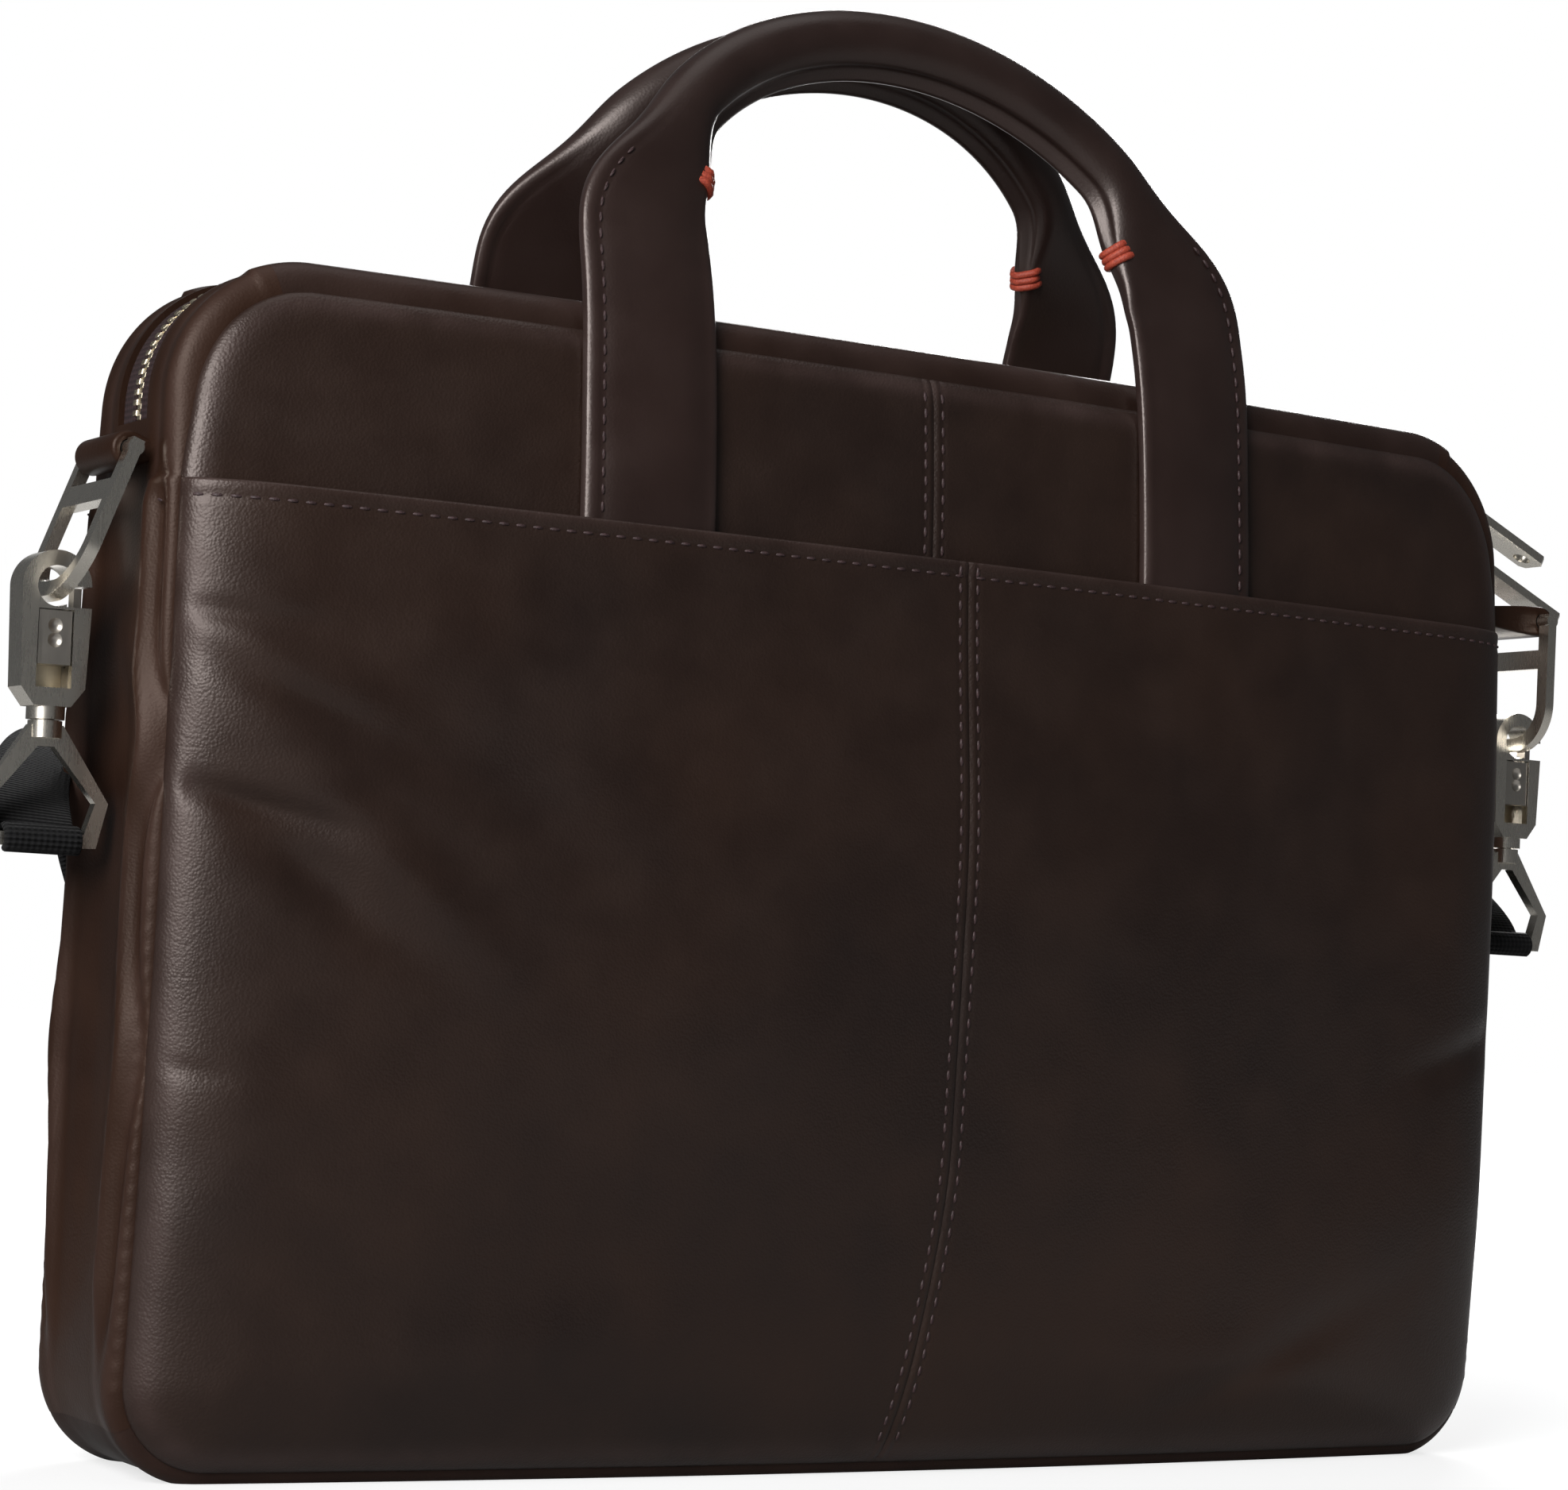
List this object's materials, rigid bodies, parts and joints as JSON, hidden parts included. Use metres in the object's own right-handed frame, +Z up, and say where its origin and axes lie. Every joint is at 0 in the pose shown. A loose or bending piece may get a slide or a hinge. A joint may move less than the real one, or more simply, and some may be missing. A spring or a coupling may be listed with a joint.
{
  "type": "leather briefcase",
  "caption": "Slim soft leather briefcase with a zipped top, flat open pockets, rolled arch handles and a clip-on webbing strap held by snap hooks on rings.",
  "frame": {"origin": "middle of the flat base, on the ground", "axes": "+X to the right along the width, front towards -Y, +Z up"},
  "size_m": [0.479, 0.1062, 0.3774],
  "materials": {
    "leather": "soft grained, semi-gloss",
    "base_leather": "soft grained, worn",
    "zip_cloth": "woven tape",
    "lining_cloth": "plain weave",
    "board": "plain sheet",
    "brass": "dull",
    "nickel": "brushed nickel plate",
    "webbing": "ribbed weave",
    "red_thread": "waxed thread"
  },
  "bodies": {
    "bag": {"front_panel": "leather", "front_pocket_left": "leather", "front_pocket_right": "leather", "rear_panel": "leather", "rear_pocket": "leather", "gusset_left": "leather", "gusset_right": "leather", "base_panel": "base_leather", "base_board": "board", "lining": "lining_cloth", "zip_end_left": "zip_cloth", "zip_end_right": "zip_cloth", "end_teeth_left": "brass", "end_teeth_right": "brass", "front_anchors": "leather", "rear_anchors": "leather", "loop_left": "leather", "loop_right": "leather", "frame_left": "nickel", "frame_right": "nickel", "strap_web": "webbing", "strap_slide": "nickel"},
    "front_lip": {"front_yoke_left": "leather", "front_yoke_right": "leather", "zip_strip_front": "leather", "zip_tape_front": "zip_cloth", "zip_teeth_front": "brass"},
    "rear_lip": {"rear_yoke": "leather", "zip_strip_rear": "leather", "zip_tape_rear": "zip_cloth", "zip_teeth_rear": "brass"},
    "front_grip": {"front_handle": "leather", "front_tacks": "red_thread"},
    "rear_grip": {"rear_handle": "leather", "rear_tacks": "red_thread"},
    "upper_slider": {"slider_a": "nickel"},
    "lower_slider": {"slider_b": "nickel"},
    "upper_pull": {"pull_a": "nickel"},
    "lower_pull": {"pull_b": "nickel"},
    "left_ring": {"ring_left": "nickel"},
    "right_ring": {"ring_right": "nickel"},
    "left_hook": {"hook_left": "nickel", "track_left": "brass"},
    "right_hook": {"hook_right": "nickel", "track_right": "brass"},
    "left_gate": {"gate_left": "nickel"},
    "right_gate": {"gate_right": "nickel"}
  },
  "joints": [
    {"name": "front_mouth", "type": "hinge", "parent": "bag", "child": "front_lip", "pos_m": [0, -0.034, 0.232], "axis": [1, 0, 0], "range_deg": [0, 20], "stiffness_Nm_per_rad": 0.6},
    {"name": "rear_mouth", "type": "hinge", "parent": "bag", "child": "rear_lip", "pos_m": [0, 0.034, 0.232], "axis": [-1, 0, 0], "range_deg": [0, 20], "stiffness_Nm_per_rad": 0.6},
    {"name": "front_handle_fold", "type": "hinge", "parent": "front_lip", "child": "front_grip", "pos_m": [0, -0.0371, 0.2332], "axis": [1, 0, 0], "range_deg": [0, 55], "stiffness_Nm_per_rad": 0.35},
    {"name": "rear_handle_fold", "type": "hinge", "parent": "rear_lip", "child": "rear_grip", "pos_m": [0, 0.0371, 0.2332], "axis": [-1, 0, 0], "range_deg": [0, 55], "stiffness_Nm_per_rad": 0.35},
    {"name": "upper_slider_run", "type": "hinge", "parent": "bag", "child": "upper_slider", "pos_m": [0.168, 0, 0.251], "axis": [0, -1, 0], "range_deg": [0, 23]},
    {"name": "lower_slider_run", "type": "hinge", "parent": "bag", "child": "lower_slider", "pos_m": [0.168, 0, 0.251], "axis": [0, -1, 0], "range_deg": [0, 7]},
    {"name": "upper_pull_swing", "type": "hinge", "parent": "upper_slider", "child": "upper_pull", "pos_m": [0.19811, 0, 0.27369], "axis": [0, -1, 0], "range_deg": [0, 64]},
    {"name": "lower_pull_swing", "type": "hinge", "parent": "lower_slider", "child": "lower_pull", "pos_m": [0.20513, 0, 0.25755], "axis": [0, -1, 0], "range_deg": [-4, 2]},
    {"name": "left_ring_swing", "type": "hinge", "parent": "bag", "child": "left_ring", "pos_m": [-0.207, 0, 0.238], "axis": [0, 1, 0], "range_deg": [-2, 2]},
    {"name": "right_ring_swing", "type": "hinge", "parent": "bag", "child": "right_ring", "pos_m": [0.229, 0, 0.238], "axis": [0, 1, 0], "range_deg": [-2, 2]},
    {"name": "left_hook_swivel", "type": "hinge", "parent": "bag", "child": "left_hook", "pos_m": [-0.21931, 0, 0.20517], "axis": [-0.0175, 0, 0.9998], "range_deg": [-10, 10]},
    {"name": "right_hook_swivel", "type": "hinge", "parent": "bag", "child": "right_hook", "pos_m": [0.229, 0, 0.203], "axis": [0, 0, 1], "range_deg": [-10, 10]},
    {"name": "left_gate_slide", "type": "slide", "parent": "left_hook", "child": "left_gate", "axis": [0.0175, 0, -0.9998], "range_m": [0, 0.0052], "stiffness_N_per_m": 300, "springref_m": -0.003},
    {"name": "right_gate_slide", "type": "slide", "parent": "right_hook", "child": "right_gate", "axis": [0, 0, -1], "range_m": [0, 0.0052], "stiffness_N_per_m": 300, "springref_m": -0.003}
  ]
}
